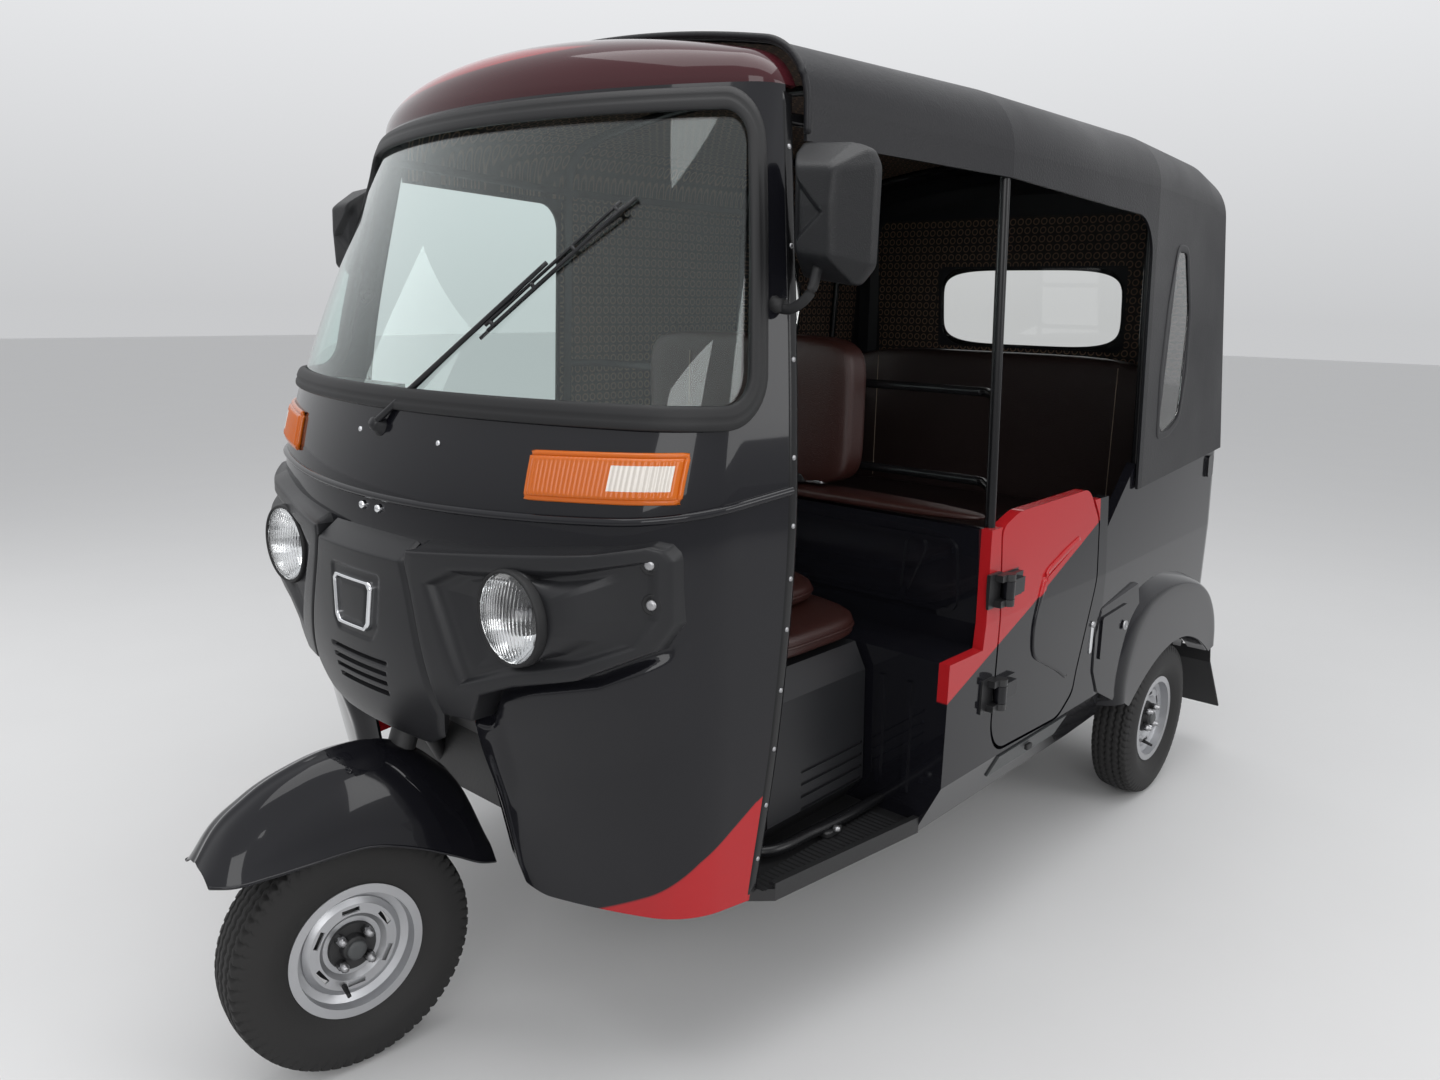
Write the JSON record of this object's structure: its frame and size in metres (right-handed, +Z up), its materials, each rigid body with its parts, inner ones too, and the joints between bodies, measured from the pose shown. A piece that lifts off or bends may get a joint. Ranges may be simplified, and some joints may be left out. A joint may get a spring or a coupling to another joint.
{
  "type": "auto rickshaw",
  "caption": "Three-wheeled passenger taxi with a steel front cab, handlebar steering, a hinged side door and a fabric canopy over a rear bench seat.",
  "frame": {"origin": "on the ground, in the middle of the overall length and width", "axes": "-Y points to the front of the vehicle, +X to its left side and +Z up"},
  "size_m": [1.3796, 2.6723, 1.713],
  "materials": {
    "black_paint": "gloss black enamel with red vinyl shapes",
    "satin_black": "satin charcoal moulding",
    "chassis_paint": "semi-gloss black",
    "silver_paint": "silver wheel paint",
    "hub_black": "painted black casting",
    "tyre": "black rubber",
    "rubber": "matt black rubber",
    "tinted_glass": "clear safety glass with a slight green tint",
    "lamp_glass": "clear ribbed glass",
    "lamp_bowl": "bright reflector",
    "amber": "ribbed amber lens",
    "red_lens": "red lens",
    "canopy_fabric": "dark coated fabric",
    "clear_film": "clear flexible window",
    "frame_paint": "black tube",
    "brown_leather": "brown upholstery",
    "bench_leather": "dark brown upholstery with stitched seams",
    "mirror_housing": "grained black plastic",
    "grey_plastic": "grey plastic",
    "engine_metal": "bare casting",
    "exhaust_steel": "heat-dulled steel",
    "bumper_steel": "black tube"
  },
  "bodies": {
    "body": {"body_hinges": "chassis_paint", "cab_floor": "chassis_paint", "canopy": "canopy_fabric", "canopy_windows": "clear_film", "centre_panel": "satin_black", "chassis": "chassis_paint", "dashboard": "satin_black", "driver_seat": "brown_leather", "engine": "engine_metal", "front_cowl": "black_paint", "front_indicators": "amber", "front_panel": "black_paint", "headlamp_bowls": "lamp_bowl", "headlamp_lenses": "lamp_glass", "lamp_wings": "satin_black", "mirrors": "mirror_housing", "mudflaps": "rubber", "partition": "black_paint", "passenger_seat": "bench_leather", "rail_pad": "brown_leather", "rear_arches": "black_paint", "rear_bumper": "bumper_steel", "rear_floor": "chassis_paint", "rear_panel": "black_paint", "roof_frame": "frame_paint", "roof_header": "black_paint", "seat_pedestal": "satin_black", "side_panel_left": "black_paint", "side_panel_right": "black_paint", "silencer": "exhaust_steel", "sill_strip": "grey_plastic", "steering_head": "chassis_paint", "tail_lamps": "red_lens", "trailing_arms": "chassis_paint", "windscreen": "tinted_glass", "windscreen_gasket": "rubber", "wiper": "satin_black"},
    "steering": {"fork": "chassis_paint", "handlebar": "chassis_paint", "front_mudguard": "black_paint"},
    "front_wheel": {"front_tyre": "tyre", "front_rim": "silver_paint", "front_hub": "hub_black"},
    "rear_left_wheel": {"rear_left_tyre": "tyre", "rear_left_rim": "silver_paint", "rear_left_hub": "hub_black"},
    "rear_right_wheel": {"rear_right_tyre": "tyre", "rear_right_rim": "silver_paint", "rear_right_hub": "hub_black"},
    "passenger_door": {"passenger_door": "black_paint"},
    "engine_lid": {"engine_lid": "black_paint"},
    "filler_flap": {"filler_flap": "black_paint"}
  },
  "joints": [
    {"name": "steering", "type": "hinge", "parent": "body", "child": "steering", "pos_m": [0, -1.11, 0.2075], "axis": [0, 0.3486, 0.9373], "range_deg": [-34.5, 49.5]},
    {"name": "front_wheel_spin", "type": "hinge", "parent": "steering", "child": "front_wheel", "pos_m": [0, -1.11, 0.2075], "axis": [0.9914, -0.1223, 0.0455], "continuous": true},
    {"name": "rear_left_wheel_spin", "type": "hinge", "parent": "body", "child": "rear_left_wheel", "pos_m": [0.575, 0.89, 0.2075], "axis": [1, 0, 0], "continuous": true},
    {"name": "rear_right_wheel_spin", "type": "hinge", "parent": "body", "child": "rear_right_wheel", "pos_m": [-0.575, 0.89, 0.2075], "axis": [1, 0, 0], "continuous": true},
    {"name": "passenger_door_hinge", "type": "hinge", "parent": "body", "child": "passenger_door", "pos_m": [0.656, -0.1, 0.66], "axis": [0, 0, -1], "range_deg": [0, 80]},
    {"name": "engine_lid_hinge", "type": "hinge", "parent": "body", "child": "engine_lid", "pos_m": [0, 1.253, 0.812], "axis": [1, 0, 0], "range_deg": [0, 80]},
    {"name": "filler_flap_hinge", "type": "hinge", "parent": "body", "child": "filler_flap", "pos_m": [0.6423, 0.3955, 0.55], "axis": [0, 0, -1], "range_deg": [0, 90]}
  ]
}
